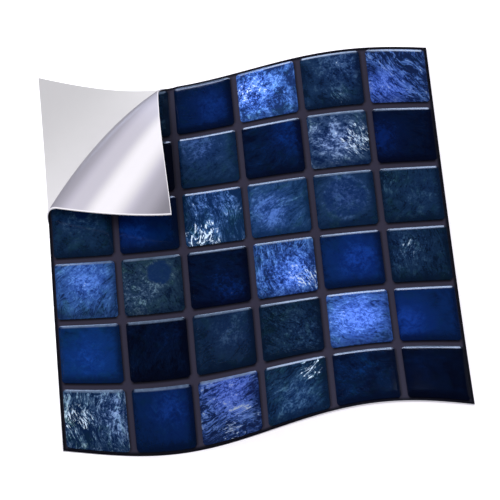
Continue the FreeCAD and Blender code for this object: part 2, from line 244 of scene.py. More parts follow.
# Search for the level plane: steepest slope that is tried, rounds of narrowing, and samples
# along a side of the paper for the search and for the footprint.
STEEPEST, LEVEL_ROUNDS = 0.4, 30
COARSE, FINE = 30, 60


class Drape:
    """Places of the flat sheet on the waved, peeled one. Flat sheet axes are x to the right
    and y away from the viewer, from its middle; lift is the height square to its surface."""

    def __init__(self, scene):
        self.sheet = scene.mosaic_sheet
        self.wave = scene.mosaic_wave
        self.roll = scene.mosaic_roll
        self.half = self.sheet.side / 2
        self.film_back = self.sheet.paper + self.sheet.gap
        self.face = self.film_back + self.sheet.film
        across = self.roll.fold_side
        back = self.roll.fold_back
        self.fold_length = math.hypot(back, across)
        self.fold_start = (back - self.half, self.half)
        self.along = (-back / self.fold_length, -across / self.fold_length)
        self.across = (-across / self.fold_length, back / self.fold_length)
        self.corner_across = back * across / self.fold_length
        self.level, self.origin = self.settle_level()

    def height(self, x, y):
        w = self.wave
        t = y / self.half

        def toward_edges(front, back):
            return (0.5 * (front + back) + 0.5 * (back - front) * t) * t * t

        depth = w.middle + toward_edges(w.front - w.middle, w.back - w.middle)
        shift = toward_edges(w.shift_front, w.shift_back)
        lift = toward_edges(w.droop_front, w.droop_back)
        tilt = toward_edges(w.cant_front, w.cant_back)
        phase = 2 * math.pi * (x + self.half - shift) / self.sheet.side
        return -depth * math.sin(phase) + lift + tilt * x / self.half

    def frame_at(self, x, y):
        """Point of the waved sheet, its normal, and its tangents across and along the fold."""
        step = 1e-5
        sx = (self.height(x + step, y) - self.height(x - step, y)) / (2 * step)
        sy = (self.height(x, y + step) - self.height(x, y - step)) / (2 * step)
        gather = self.wave.gather

        def tangent(way):
            return Vector((way[0] * gather, way[1], way[0] * sx + way[1] * sy)).normalized()

        point = Vector((x * gather, y, self.height(x, y)))
        normal = Vector((-sx / gather, -sy, 1)).normalized()
        return point, normal, tangent(self.across), tangent(self.along)

    def roll_cuts(self, step):
        """Lines along the fold that cut the roll into strips, as (point, direction across)."""
        count = math.ceil(self.roll.roll_length / step)
        reaches = [self.roll.roll_length * k / count for k in range(count + 1)]
        (x, y), (dx, dy) = self.fold_start, self.across
        return [((x + dx * s, y + dy * s, 0), (dx, dy, 0)) for s in reaches]

    def fold_place(self, x, y):
        """Distance past the start of the roll, and distance along it from the back edge."""
        dx = x - self.fold_start[0]
        dy = y - self.fold_start[1]
        return dx * self.across[0] + dy * self.across[1], dx * self.along[0] + dy * self.along[1]

    def raw_paper(self, x, y, lift):
        point, normal = self.frame_at(x, y)[:2]
        past = max(self.fold_place(x, y)[0], 0)
        point.z += self.roll.paper_rise * (past / self.corner_across) ** 2
        return point + normal * lift

    def raw_film(self, x, y, lift):
        s, t = self.fold_place(x, y)
        if s <= 0:
            point, normal = self.frame_at(x, y)[:2]
            return point + normal * lift
        r = self.roll
        start, normal, across, along = self.frame_at(
            self.fold_start[0] + self.along[0] * t, self.fold_start[1] + self.along[1] * t
        )
        part = t / self.fold_length
        bulge = 4 * part * (1 - part)
        ends = r.radius_back + (r.radius_side - r.radius_back) * part
        radius = ends * (1 - bulge) + r.radius_middle * bulge
        half_turn = math.pi + r.dip_back + (r.dip_side - r.dip_back) * part
        angle = half_turn * min(s / r.roll_length, 1)
        flap = max(s - r.roll_length, 0) * r.reach
        inner = radius - (lift - self.film_back)
        out = inner * math.sin(angle) + flap * math.cos(angle)
        up = self.film_back + radius - inner * math.cos(angle) + flap * math.sin(angle)
        share = s / self.corner_across
        drift = r.drift * share * share * (1 + r.drift_ease) / (share + r.drift_ease)
        return start + across * out + normal * up + along * drift

    def settle_level(self):
        """Turn that lays the waved paper on the floor, on the highest level plane under its
        middle that stays below every point of it, and the middle of its footprint."""

        def samples(count):
            steps = [-self.half + self.sheet.side * k / count for k in range(count + 1)]
            return [self.raw_paper(x, y, 0) for x in steps for y in steps]

        px, py, pz = numpy.array(samples(COARSE)).T

        def plane_height(a, b):
            return (pz - a * px - b * py).min()

        def peak(function):
            """Where a function with one peak has it."""
            low, high = -STEEPEST, STEEPEST
            for _ in range(LEVEL_ROUNDS):
                third = (high - low) / 3
                if function(low + third) < function(high - third):
                    low += third
                else:
                    high -= third
            return (low + high) / 2

        def best_b(a):
            return peak(lambda b: plane_height(a, b))

        a = peak(lambda value: plane_height(value, best_b(value)))
        b = best_b(a)
        level = Vector((-a, -b, 1)).rotation_difference(Vector((0, 0, 1))).to_matrix()
        resting = numpy.array([level @ point for point in samples(FINE)])
        low, high = resting.min(axis=0), resting.max(axis=0)
        return level, Vector(((low[0] + high[0]) / 2, (low[1] + high[1]) / 2, low[2]))

    def settle(self, point):
        return self.level @ point - self.origin

    def paper(self, place):
        return self.settle(self.raw_paper(*place))

    def film(self, place):
        return self.settle(self.raw_film(*place))


class NodeMaker:
    """Adds nodes to a tree. A value may be a number, a colour or another node's output."""

    def __init__(self, tree):
        self.tree = tree

    def add(self, kind, inputs=None, **settings):
        node = self.tree.nodes.new(kind)
        row, column = divmod(len(self.tree.nodes), 9)
        node.location = (230 * column, -280 * row)
        for name, value in settings.items():
            setattr(node, name, value)
        self.feed(node.inputs, inputs or {})
        return node

    def feed(self, sockets, values):
        """Sets or links each socket that is named in values."""
        for name, value in values.items():
            socket = sockets[name]
            if isinstance(value, bpy.types.NodeSocket):
                self.tree.links.new(value, socket)
            elif socket.type == "RGBA":
                socket.default_value = (*value, 1.0)
            else:
                socket.default_value = value

    def geometry(self, kind, inputs=None, **settings):
        return self.add("GeometryNode" + kind, inputs, **settings).outputs[0]

    def calc(self, operation, *values, clamp=False):
        node = self.add("ShaderNodeMath", dict(enumerate(values)), operation=operation, use_clamp=clamp)
        return node.outputs[0]

    plus = partialmethod(calc, "ADD")
    less = partialmethod(calc, "SUBTRACT")
    times = partialmethod(calc, "MULTIPLY")
    times_plus = partialmethod(calc, "MULTIPLY_ADD")
    unsigned = partialmethod(calc, "ABSOLUTE")
    larger = partialmethod(calc, "MAXIMUM")

    def vector(self, operation, first, second=(0.0, 0.0, 0.0)):
        node = self.add("ShaderNodeVectorMath", {0: first, 1: second}, operation=operation)
        return node.outputs["Value" if operation in ("LENGTH", "DISTANCE", "DOT_PRODUCT") else "Vector"]

    def scaled(self, vector, scale):
        return self.add("ShaderNodeVectorMath", {0: vector, "Scale": scale}, operation="SCALE").outputs[0]

    def parts(self, vector):
        return self.add("ShaderNodeSeparateXYZ", {0: vector}).outputs

    def join(self, x, y, z):
        return self.add("ShaderNodeCombineXYZ", {0: x, 1: y, 2: z}).outputs[0]

    def ramp(self, value, low, high, start=0.0, end=1.0, kind="SMOOTHSTEP"):
        """Goes from start to end, smoothly if not told otherwise, as the value goes from low to high."""
        inputs = {"Value": value, "From Min": low, "From Max": high, "To Min": start, "To Max": end}
        return self.add("ShaderNodeMapRange", inputs, interpolation_type=kind).outputs[0]

    def mix(self, share, first, second, blend="MIX"):
        inputs = {0: share, 6: first, 7: second}
        return self.add("ShaderNodeMix", inputs, data_type="RGBA", blend_type=blend).outputs[2]

    def noise(self, place, *character):
        """Noise of a scale, detail, roughness and distortion."""
        inputs = dict(zip(("Scale", "Detail", "Roughness", "Distortion"), character))
        return self.add("ShaderNodeTexNoise", {"Vector": place, **inputs}).outputs[0]


def new_group(name, inputs, outputs, tree_type="ShaderNodeTree"):
    """Empty group with named sockets of each type, and its maker, inputs and outputs."""
    tree = bpy.data.node_groups.new(name, tree_type)
    for way, sockets in (("INPUT", inputs), ("OUTPUT", outputs)):
        for kind, labels in sockets.items():
            for label in labels:
                tree.interface.new_socket(name=label, in_out=way, socket_type="NodeSocket" + kind)
    maker = NodeMaker(tree)
    source = maker.add("NodeGroupInput").outputs
    sink = maker.add("NodeGroupOutput").inputs
    return tree, maker, source, sink


# Noises of the glass: features per millimetre, detail, roughness and distortion.
BROAD = (0.13, 2.0, 0.5, 0.8)
MOTTLE = (0.42, 4.0, 0.62, 1.0)
GRAIN = (1.05, 3.0, 0.62, 0.8)
DRIFTS = (0.2, 3.0, 0.6, 0.8)
STROKE = (0.42, 4.0, 0.58, 0.7)
STROKE_BOW = (0.06, 1.0, 0.5, 0.0)
CRINKLE = (1.1, 4.0, 0.7, 1.5)
# Strokes: how far they bow in millimetres and how they are drawn out. The thin lines among
# them: narrowness, then detail, roughness and distortion, then each set's scale, offset and
# strength.
BOW_REACH = 13.0
DRAWN_OUT = (0.22, 0.8, 1.0)
NARROWNESS = 13.0
STROKE_LINES = (2.0, 0.5, 1.2)
PALE_LINES = (0.8, (0.0, 0.0, 0.0), 0.34)
DARK_LINES = (0.55, (5.0, 11.0, 3.0), -0.60)
# How far apart in depth, in millimetres, each chip's piece of the noises lies from the next.
NEXT_CHIP = 37.0
# Tones at which the next colour begins and is full.
MAIN_FROM, MAIN_FULL = -0.10, 0.46
LIGHT_FROM, LIGHT_FULL = 0.42, 1.02
PALE_FROM, PALE_FULL = 1.1, 1.7
# Tints that multiply the glass: where it leans, away from and in its glow, and in its spot.
UNTINTED = (1.0, 1.0, 1.0)
GREEN_LEAN = (0.95, 1.18, 0.70)
VIOLET_LEAN = (1.45, 0.88, 1.10)
OUTSIDE_GLOW = (1.0, 1.02, 0.95)
IN_GLOW = (0.88, 0.90, 1.22)
IN_SPOT = (0.45, 0.85, 1.5)


def fused_glass():
    """Cloudy art glass under a clear face. Glow, clouds, mottling, strokes, a round spot and
    a glinting patch add up to one tone, read as deep, main, light or pale glass."""
    inputs = {
        "Vector": ("Place", "Chip Place", "Glow", "Patch", "Spot"),
        "Float": ("Seed", "Rim Shade", *CHIP_TRAITS["chip_tone"], *CHIP_TRAITS["chip_marks"]),
        "Color": ("Deep", "Main", "Light", "Pale", "Rim"),
    }
    outputs = {"Color": ("Colour",), "Float": ("Foil", "Relief")}
    tree, m, i, o = new_group("Fused glass", inputs, outputs)
    chip = m.parts(i["Chip Place"])
    shift = m.join(0.0, 0.0, m.times(i["Seed"], NEXT_CHIP))
    place = m.vector("ADD", m.scaled(i["Place"], 1000.0), shift)
    mottle = m.noise(place, *MOTTLE)
    grain = m.noise(place, *GRAIN)

    def swing(noise, size):
        """A noise about nought, times a size."""
        return m.times(m.less(noise, 0.5), size)

    def around(spot, wobble):
        """Wobbly distance from a place on the chip, and the strength or radius with it."""
        far = m.vector("DISTANCE", i["Chip Place"], m.vector("MULTIPLY", spot, (1.0, 1.0, 0.0)))
        return m.plus(far, swing(mottle, wobble)), m.parts(spot)[2]

    # glow, clouds, mottling and flecks, all livelier in the glow
    far, strength = around(i["Glow"], 0.9)
    glow = m.times(m.ramp(far, 1.35, 0.1), strength)
    lively = m.times_plus(glow, 0.9, 0.45)
    tone = m.times_plus(glow, 0.50, 0.24)
    tone = m.plus(tone, swing(m.noise(place, *BROAD), m.times(i["Clouds"], 2.4)))
    tone = m.plus(tone, swing(mottle, m.times(m.times_plus(i["Clouds"], 2.6, 0.4), lively)))
    tone = m.plus(tone, swing(grain, m.times(m.times(i["Flecks"], 3.4), lively)))

    # strokes, drawn out along their own turn and bowed
    turned = {"Vector": place, "Angle": i["Stroke Turn"]}
    turned = m.add("ShaderNodeVectorRotate", turned, rotation_type="Z_AXIS").outputs[0]
    bow = m.join(0.0, swing(m.noise(place, *STROKE_BOW), BOW_REACH), 0.0)
    stretched = m.vector("MULTIPLY", m.vector("ADD", turned, bow), DRAWN_OUT)
    strokes = m.times(i["Strokes"], m.times_plus(glow, -0.7, 1.3))
    tone = m.plus(tone, swing(m.noise(stretched, *STROKE), m.times(strokes, 2.6)))
    for scale, offset, strength in (PALE_LINES, DARK_LINES):
        # lines where a noise crosses its middle
        noise = m.noise(m.vector("ADD", stretched, offset), scale, *STROKE_LINES)
        ridge = m.less(1.0, m.unsigned(swing(noise, NARROWNESS)))
        tone = m.times_plus(m.ramp(ridge, 0.3, 1.0), m.times(strokes, strength), tone)

    # round spot with a paler broken rim
    far, radius = around(i["Spot"], 0.25)
    past = m.less(far, radius)
    present = m.ramp(radius, 0.0, 0.05)
    broken_rim = m.ramp(m.unsigned(m.less(past, 0.05)), 0.16, 0.0, 0.0, 0.16)
    tone = m.times_plus(broken_rim, present, tone)
    depth = m.ramp(radius, 0.44, 0.62, 0.8, 0.3)
    in_spot = m.times(m.ramp(past, 0.04, -0.06, 0.0, depth), present)

    # glinting patch
    far, strength = around(i["Patch"], 1.1)
    crinkle = m.noise(m.vector("ADD", stretched, (0.0, 29.0, 7.0)), *CRINKLE)
    glint = m.times(m.ramp(far, 0.68, 0.12), strength)
    patch = m.times(glint, m.ramp(crinkle, 0.52, 0.62))
    tone = m.times_plus(patch, 1.1, tone)
    tone = m.plus(tone, swing(grain, glint))

    # tone to colour
    out = m.mix(m.ramp(tone, MAIN_FROM, MAIN_FULL), i["Deep"], i["Main"])
    out = m.mix(m.ramp(tone, LIGHT_FROM, LIGHT_FULL), out, i["Light"])
    foil = m.ramp(tone, PALE_FROM, PALE_FULL)
    out = m.mix(in_spot, out, m.vector("MULTIPLY", m.mix(0.6, i["Deep"], i["Main"]), IN_SPOT))

    # painted shade, darker towards the rim, most at the front and the right
    def inside(axis, plain_side, shaded_side, starts, ends):
        """Nought at one pair of edges, 1 well inside, with its own ramp along that way."""
        inward = m.plus(m.less(1.0, m.unsigned(chip[axis])), swing(mottle, 0.25))
        start = m.ramp(chip[axis], plain_side, shaded_side, *starts)
        end = m.ramp(chip[axis], plain_side, shaded_side, *ends)
        return m.ramp(inward, start, end)

    inside_x = inside(0, -0.5, 0.9, (-0.08, 0.04), (0.18, 0.32))
    inside_y = inside(1, 0.6, -0.8, (-0.12, 0.04), (0.08, 0.38))
    shade = m.times(m.less(1.0, m.times(inside_x, inside_y)), i["Rim Shade"])
    out = m.mix(shade, out, i["Deep"])

    # lean towards green, also in drifts away from the glow, or towards violet
    drift = m.noise(m.vector("ADD", place, (41.0, 3.0, 5.0)), *DRIFTS)
    drift = m.times(m.ramp(drift, 0.50, 0.66, 0.0, 0.4), m.less(1.3, glow))
    greener = m.calc("SUBTRACT", drift, i["Lean"], clamp=True)
    tints = (
        (greener, UNTINTED, GREEN_LEAN),
        (m.larger(i["Lean"], 0.0), UNTINTED, VIOLET_LEAN),
        (glow, OUTSIDE_GLOW, IN_GLOW),
    )
    for share, outside, within in tints:
        out = m.mix(1.0, out, m.mix(share, outside, within), "MULTIPLY")
    out = m.mix(foil, out, i["Pale"])
    out = m.scaled(out, i["Brightness"])

    # painted highlight: a pale band along the back rim of each chip, fading towards its corners
    painted_rim_highlight = m.times(m.ramp(chip[1], 0.86, 0.93), m.ramp(m.unsigned(chip[0]), 0.98, 0.84))
    out = m.mix(m.times(painted_rim_highlight, m.times_plus(mottle, 0.8, 0.15)), out, i["Rim"])
    m.feed(o, {"Colour": out, "Foil": foil, "Relief": m.plus(mottle, m.times(patch, 0.3))})
    return tree


def handling_marks():
    """Faint smudges and soft unevenness of a smooth sheet."""
    inputs = {"Vector": ("Place",), "Float": ("Size", "Smooth", "Smudged")}
    outputs = {"Float": ("Roughness", "Tone", "Relief")}
    tree, m, i, o = new_group("Handling marks", inputs, outputs)
    place = m.scaled(i["Place"], i["Size"])
    soft = m.noise(place, 0.5, 3.0, 0.5, 0.8)
    fine = m.noise(place, 9.0, 4.0, 0.6, 0.0)
    m.feed(o, {
        "Roughness": m.ramp(soft, 0.35, 0.7, i["Smooth"], i["Smudged"]),
        "Tone": m.times_plus(soft, 0.08, m.times_plus(fine, 0.03, 0.94)),
        "Relief": m.times_plus(fine, 0.15, soft),
    })
    return tree


def new_material(name):
    material = bpy.data.materials.new(name)
    material.use_nodes = True
    material.node_tree.nodes.clear()
    m = NodeMaker(material.node_tree)
    shader = m.add("ShaderNodeBsdfPrincipled")
    m.add("ShaderNodeOutputMaterial", {"Surface": shader.outputs[0]})
    return material, m, shader.inputs


def attribute(m, name, output="Vector"):
    return m.add("ShaderNodeAttribute", attribute_name=name).outputs[output]


def relief(m, height, strength, distance):
    bump = m.add("ShaderNodeBump", {"Strength": strength, "Distance": distance, "Height": height})
    return bump.outputs[0]


def glass_material(kind, colours):
    """Clear glossy chip over one of the six glass colourings."""
    material, m, shader = new_material(kind + " glass")
    values = {
        "Place": attribute(m, "flat_place"),
        "Chip Place": attribute(m, "chip_place"),
        "Seed": attribute(m, "chip_seed", "Fac"),
        "Pale": colours.pale,
        "Rim": colours.rim,
        "Rim Shade": RIM_PAINTED_SHADE[kind],
    }
    for name, labels in CHIP_TRAITS.items():
        traits = attribute(m, name)
        values.update(zip(labels, m.parts(traits) if len(labels) > 1 else (traits,)))
    for tone in TONES:
        values[tone.title()] = getattr(colours, f"{kind}_{tone}")
    group = bpy.data.node_groups.get("Fused glass") or fused_glass()
    glass = m.add("ShaderNodeGroup", values, node_tree=group).outputs
    m.feed(shader, {
        "Base Color": glass["Colour"],
        "Roughness": m.ramp(glass["Foil"], 0.0, 1.0, 0.16, 0.30),
        "Normal": relief(m, glass["Relief"], 0.12, 0.00005),
        "Specular IOR Level": 0.1,
        "Coat Weight": 1.0,
        "Coat Roughness": 0.13,
        "Coat IOR": 1.5,
    })
    return material


def sheet_material(name, base, smooth, smudged, size, depth, specular=0.5):
    """Sheet whose colour, from the nodes that base adds, is faintly marked by handling."""
    material, m, shader = new_material(name)
    place = m.add("ShaderNodeTexCoord").outputs["Object"]
    values = {"Place": place, "Size": size, "Smooth": smooth, "Smudged": smudged}
    group = bpy.data.node_groups.get("Handling marks") or handling_marks()
    marks = m.add("ShaderNodeGroup", values, node_tree=group).outputs
    tone = marks["Tone"]
    m.feed(shader, {
        "Base Color": m.mix(1.0, base(m), m.join(tone, tone, tone), "MULTIPLY"),
        "Roughness": marks["Roughness"],
        "Normal": relief(m, marks["Relief"], 0.3, depth),
        "Specular IOR Level": specular,
    })
    return material


def from_middle(m):
    """Flat place, and the larger of its two distances from the sheet's middle lines."""
    flat = m.parts(attribute(m, "flat_place"))
    return flat, m.larger(m.unsigned(flat[0]), m.unsigned(flat[1]))


# How far in from the film's edge the dark border stays full, and where it is gone.
BORDER_FULL, BORDER_END = 0.0006, 0.0019
# Shade beside the chips: how it starts and ends across the joint, from the joint's middle,
# how it sets in along the joint past a crossing, and how deep it is.
SHADE_STARTS, SHADE_ENDS, SHADE_CORNER = (0.0, 0.0010), (0.0020, 0.0014), (0.0010, 0.0026)
FRONT_SHADE, RIGHT_SHADE = 0.75, 0.45
JOINT_BRIGHTNESS = 1.1


def print_material(colours, sheet):
    """Printed face of the film: joint colour, near black towards the outer edge."""

    def base(m):
        flat, far = from_middle(m)
        border = m.ramp(far, sheet.side / 2 - BORDER_END, sheet.side / 2 - BORDER_FULL)
        pitch = sheet.side / len(LAYOUT)
        x, y = (m.calc("WRAP", value, pitch / 2, -pitch / 2) for value in flat[:2])

        def beside_chip(far, along, depth):
            """Shade along the chips' front or right edges, from the middle of the joint on."""
            shade = m.times(m.ramp(far, *SHADE_STARTS), m.ramp(far, *SHADE_ENDS))
            shade = m.times(shade, m.ramp(m.unsigned(along), *SHADE_CORNER))
            return m.times_plus(shade, -depth, 1.0)

        front = beside_chip(y, x, FRONT_SHADE)
        tone = m.times(front, beside_chip(m.times(x, -1.0), y, RIGHT_SHADE))
        joint = m.scaled(colours.joint, m.times(tone, JOINT_BRIGHTNESS))
        return m.mix(border, joint, colours.border)

    return sheet_material("Printed vinyl", base, 0.42, 0.6, size=60.0, depth=0.00002, specular=0.1)


def past_fold(m, drape):
    """Millimetres from the start of the roll towards the peeled corner, on the flat sheet."""
    far = m.vector("DOT_PRODUCT", attribute(m, "flat_place"), (*drape.across, 0.0))
    start = drape.fold_start[0] * drape.across[0] + drape.fold_start[1] * drape.across[1]
    return m.times_plus(far, 1000.0, -1000.0 * start)


# Painted shade on the paper: its brightness at the fold and at its bared corner, and the
# millimetres past the fold between which it changes.
FOLD_PAPER, CORNER_PAPER = 0.80, 0.655
PAPER_FROM, PAPER_TO = 2.0, 30.0
# Pale lip along the underside's edge: where it starts and is full, inwards from the edge, its
# share and its brightness.
LIP_START, LIP_FULL = 0.0004, 0.0002
LIP_SHARE, LIP_TONE = 0.9, 0.95
# Tones of the painted light between which the pearl turns from its grey shade colour to white.
PEARL_GREY, PEARL_WHITE = 0.5, 0.75
# Painted light and shade on the pearl: its brightness where the roll begins, and its changes
# along the peeled film: from and to, in millimetres past the start of the roll, and by how much.
# They paint a highlight on the roll, a shaded line behind it, a pale band of reflected light
# along the flap and a shaded tip.
PEARL_PAINTED_START = 0.90
PEARL_PAINTED_LIGHT = (
    (2.2, 4.0, -0.64),
    (4.6, 10.6, 0.32),
    (13.0, 18.0, 0.27),
    (20.5, 30.0, -0.43),
    (29.5, 37.5, -0.19),
)


def pearl_material(colours, drape):
    """Pearl underside of the film, with painted light and shade: a painted highlight on the roll,
    a painted dark line of shade behind it, a painted pale band of reflected light along the flap
    and a painted greyer tip in shade. It has a pale lip at the cut edge."""

    def base(m):
        past = past_fold(m, drape)
        tone = PEARL_PAINTED_START
        for start, end, change in PEARL_PAINTED_LIGHT:
            tone = m.plus(tone, m.ramp(past, start, end, 0.0, change))
        far = from_middle(m)[1]
        lip = m.ramp(far, drape.half - LIP_START, drape.half - LIP_FULL, 0.0, LIP_SHARE)
        tone = m.plus(tone, m.times(lip, m.less(LIP_TONE, tone)))
        white = m.ramp(tone, PEARL_GREY, PEARL_WHITE)
        pearl = m.mix(white, colours.underside_shade, colours.underside)
        return m.scaled(pearl, tone)

    return sheet_material("Pearl underside", base, 0.3, 0.4, size=22.0, depth=0.00002, specular=0.2)


def paper_material(colours, drape):
    """Release paper, with painted shade that makes it a little greyer towards its bared corner."""

    def base(m):
        tone = m.ramp(past_fold(m, drape), PAPER_TO, PAPER_FROM, CORNER_PAPER, FOLD_PAPER)
        return m.scaled(colours.paper, tone)

    return sheet_material("Release paper", base, 0.4, 0.5, size=30.0, depth=0.00002)


def edge_material(colours):
    """Pale core that the film shows where it is cut."""
    return sheet_material("Film edge", lambda m: colours.edge, 0.5, 0.6, size=60.0, depth=0.00001)


# Points closer than this are one point when a mesh is cut, and edges that turn by more than
# this look sharp.
SAME_PLACE = 1e-7
SHARP_TURN = math.radians(50)


def cut_along(bm, cuts):
    for point, across in cuts:
        geometry = bm.verts[:] + bm.edges[:] + bm.faces[:]
        bmesh.ops.bisect_plane(bm, geom=geometry, dist=SAME_PLACE, plane_co=point, plane_no=across)


def flat_plate(sheet, low, high, cuts=()):
    """Flat square plate from lift low to lift high, meshed in squares and cut along lines."""
    bm = bmesh.new()
    n = round(sheet.side / sheet.mesh_step)
    bmesh.ops.create_grid(bm, x_segments=n, y_segments=n, size=sheet.side / 2)
    cut_along(bm, cuts)
    bmesh.ops.translate(bm, verts=bm.verts, vec=(0, 0, low))
    raised = bmesh.ops.extrude_face_region(bm, geom=bm.faces[:])["geom"]
    raised = [item for item in raised if isinstance(item, bmesh.types.BMVert)]
    bmesh.ops.translate(bm, verts=raised, vec=(0, 0, high - low))
    bm.normal_update()
    bmesh.ops.recalc_face_normals(bm, faces=bm.faces)
    return bm


def placed(name, data, materials=()):
    """Object of a mesh, lamp or camera, put in the scene."""
    for material in materials:
        data.materials.append(material)
    item = bpy.data.objects.new(name, data)
    bpy.context.collection.objects.link(item)
    return item


def draped(bm, mesh, to_place):
    """The mesh, with flat geometry moved onto the waved sheet and its flat places kept."""
    bm.to_mesh(mesh)
    bm.free()
    flat = mesh.attributes.new("flat_place", "FLOAT_VECTOR", "POINT")
    for vertex, kept in zip(mesh.vertices, flat.data):
        kept.vector = vertex.co
        vertex.co = to_place(vertex.co)
    mesh.update()
    mesh.shade_smooth()
    mesh.set_sharp_from_angle(angle=SHARP_TURN)
    return mesh


class MOSAIC_OT_release_paper(bpy.types.Operator):
    """Lay the waved release paper, with its bared corner curling up"""

    bl_idname = "mosaic.release_paper"
    bl_label = "Release Paper"

    def execute(self, context):
        drape = Drape(context.scene)
        bm = flat_plate(drape.sheet, 0.0, drape.sheet.paper)
        mesh = draped(bm, bpy.data.meshes.new("release_paper_face"), drape.paper)
        paper = paper_material(context.scene.mosaic_colours, drape)
        piece = placed("release_paper_sheet", mesh, [paper])
        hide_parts("release_paper")
        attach(piece, "root")
        return {"FINISHED"}


# Materials of the film's faces, in the order that the film holds them.
PRINTED, UNDERSIDE, CUT_EDGE = range(3)


class MOSAIC_OT_vinyl_film(bpy.types.Operator):
    """Lay the printed film, with its back left corner rolled over"""

    bl_idname = "mosaic.vinyl_film"
    bl_label = "Printed Film"

    def execute(self, context):
        drape = Drape(context.scene)
        cuts = drape.roll_cuts(drape.roll.mesh_step)
        bm = flat_plate(drape.sheet, drape.film_back, drape.face, cuts)
        for face in bm.faces:
            up = round(face.normal.z)
            face.material_index = {1: PRINTED, -1: UNDERSIDE, 0: CUT_EDGE}[up]
        mesh = draped(bm, bpy.data.meshes.new("vinyl_film_face"), drape.film)
        colours = context.scene.mosaic_colours
        materials = [
            print_material(colours, drape.sheet), pearl_material(colours, drape), edge_material(colours)
        ]
        piece = placed("vinyl_film_sheet", mesh, materials)
        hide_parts("vinyl_film")
        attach(piece, "root")
        return {"FINISHED"}


# Profile of a chip's shoulder: a slope that takes this share of the rise, and a round edge
# that takes the rest. Then the scale of the face's fine waviness, and how close points are
# that become one.
SLOPE_SHARE = 0.87
SLOPE_POWER = 1.15
RIM_POWER = 30.0
RIPPLES_PER_METRE = 260.0
WELD = 1e-6


def chip_grid_tree():
    """Geometry node tree: one domed, round-cornered chip on each point of one finish."""
    inputs = {
        "Geometry": ("Points",),
        "Float": ("Reach", "Corner", "Height", "Wall", "Shoulder", "Crown", "Unevenness", "Seed"),
        "Int": ("Rings", "Finish"),
        "Material": ("Material",),
    }
    outputs = {"Geometry": ("Chips",)}
    tree, m, i, o = new_group("Mosaic chips", inputs, outputs, "GeometryNodeTree")
    count = m.times_plus(i["Rings"], 2.0, 1.0)
    sizes = {"Size X": 2.0, "Size Y": 2.0, "Vertices X": count, "Vertices Y": count}
    grid = m.geometry("MeshGrid", sizes)
    raw = m.parts(m.geometry("InputPosition"))
    rim_share = m.calc("DIVIDE", i["Shoulder"], i["Reach"])

    def crowd(value):
        """Puts half of the grid's lines on the rim."""
        inward = m.less(1.0, m.unsigned(value))
        on_rim = m.ramp(inward, 0.0, 0.5, 0.0, rim_share, "LINEAR")
        on_face = m.ramp(inward, 0.5, 1.0, 0.0, m.less(1.0, rim_share), "LINEAR")
        left = m.less(1.0, m.plus(on_rim, on_face))
        return m.times(m.calc("SIGN", value), left)

    chip_x, chip_y = crowd(raw[0]), crowd(raw[1])
    x, y = m.times(chip_x, i["Reach"]), m.times(chip_y, i["Reach"])
    core = m.less(i["Reach"], i["Corner"])
    back = m.times(core, -1.0)
    core_x, core_y = (m.calc("MINIMUM", m.larger(value, back), core) for value in (x, y))
    past_x, past_y = m.less(x, core_x), m.less(y, core_y)
    past = m.join(past_x, past_y, 0.0)
    outward = m.larger(m.unsigned(past_x), m.unsigned(past_y))
    far = m.larger(m.vector("LENGTH", past), 1e-9)
    rounded = m.scaled(past, m.calc("DIVIDE", outward, far))
    plan = m.vector("ADD", m.join(core_x, core_y, 0.0), rounded)
    inward = m.less(i["Corner"], outward)
    part = m.calc("SUBTRACT", 1.0, m.calc("DIVIDE", inward, i["Shoulder"]), clamp=True)
    slope = m.times(m.calc("POWER", part, SLOPE_POWER), SLOPE_SHARE)
    roll_off = m.times(m.calc("POWER", part, RIM_POWER), 1 - SLOPE_SHARE)
    dome = m.less(1.0, m.plus(slope, roll_off))
    rise = m.less(i["Height"], i["Wall"])
    flat = m.calc("DIVIDE", m.vector("LENGTH", m.join(x, y, 0.0)), m.times(i["Reach"], math.sqrt(2)))
    top = m.times_plus(dome, rise, i["Wall"])
    sag = m.times(i["Crown"], m.times(flat, flat))
    noise = {"Vector": plan, "Scale": RIPPLES_PER_METRE, "Detail": 1.0, "W": i["Seed"]}
    noise = m.add("ShaderNodeTexNoise", noise, noise_dimensions="4D").outputs[0]
    ripple = m.times(m.less(noise, 0.5), m.times(i["Unevenness"], 2.0))
    ripple = m.times(ripple, dome)
    top = m.less(m.plus(top, ripple), m.times(sag, dome))
    marked = {"Geometry": grid, "Name": "chip_place", "Value": m.join(chip_x, chip_y, 0.0)}
    marked = m.geometry("StoreNamedAttribute", marked, data_type="FLOAT_VECTOR", domain="POINT")
    raised = m.vector("ADD", plan, m.join(0.0, 0.0, top))
    upper = m.geometry("SetPosition", {"Geometry": marked, "Position": raised})
    foot = m.geometry("FlipFaces", {0: m.geometry("SetPosition", {"Geometry": marked, "Position": plan})})

    def equal(first, second):
        inputs = {2: first, 3: second}
        return m.add("FunctionNodeCompare", inputs, operation="EQUAL", data_type="INT").outputs[0]

    rim = equal(m.geometry("InputMeshEdgeNeighbors"), 1)
    down = m.join(0.0, 0.0, m.times(i["Wall"], -1.0))
    walled = m.geometry("ExtrudeMesh", {"Mesh": upper, "Selection": rim, "Offset": down}, mode="EDGES")
    joined = m.add("GeometryNodeJoinGeometry")
    for half in (foot, walled):
        tree.links.new(half, joined.inputs[0])
    closed = m.geometry("MergeByDistance", {"Geometry": joined.outputs[0], "Distance": WELD})
    smooth = m.geometry("SetShadeSmooth", {"Geometry": closed})
    wanted = equal(m.geometry("InputNamedAttribute", {"Name": "finish"}, data_type="INT"), i["Finish"])
    spread = {"Points": i["Points"], "Selection": wanted, "Instance": smooth}
    real = m.geometry("RealizeInstances", {"Geometry": m.geometry("InstanceOnPoints", spread)})
    m.feed(o, {"Chips": m.geometry("SetMaterial", {"Geometry": real, "Material": i["Material"]})})
    return tree


